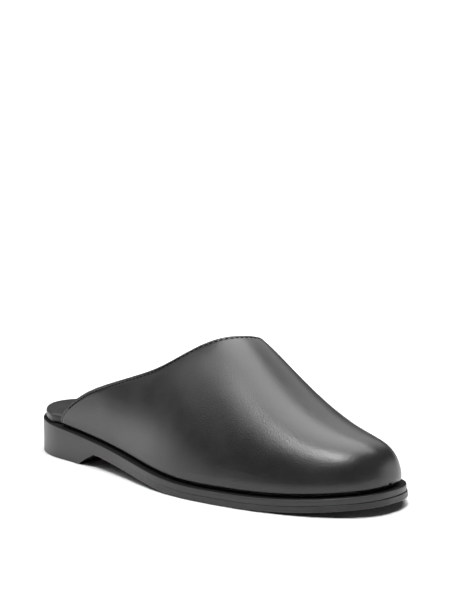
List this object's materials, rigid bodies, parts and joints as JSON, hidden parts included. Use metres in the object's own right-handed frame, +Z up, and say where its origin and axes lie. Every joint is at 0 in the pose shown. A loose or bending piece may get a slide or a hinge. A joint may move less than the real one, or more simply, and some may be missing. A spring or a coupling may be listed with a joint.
{
  "type": "mule shoe",
  "caption": "Slip-on closed-toe mule for the right foot: smooth one-piece upper with a high curved throat, open heel, padded footbed, welted sole edge and low block heel.",
  "frame": {"origin": "middle of the bounding box, on the floor that the sole stands on", "axes": "+X from heel to toe, +Y toward the wearer's left, which is this right shoe's big-toe side, +Z up"},
  "size_m": [0.292, 0.1106, 0.0945],
  "materials": {
    "upper_leather": "smooth black calf leather, satin polish, fine grain",
    "footbed_leather": "smooth black lining leather over a foam pad, satin",
    "welt_edge": "black leather strip with an inked and burnished edge",
    "outsole_edge": "black, satin edge, fine matte tread side",
    "heel_edge": "black, satin sides, matte underside"
  },
  "bodies": {
    "root": {"upper": "upper_leather", "insole": "footbed_leather", "welt": "welt_edge", "outsole": "outsole_edge", "heel": "heel_edge"}
  },
  "joints": []
}
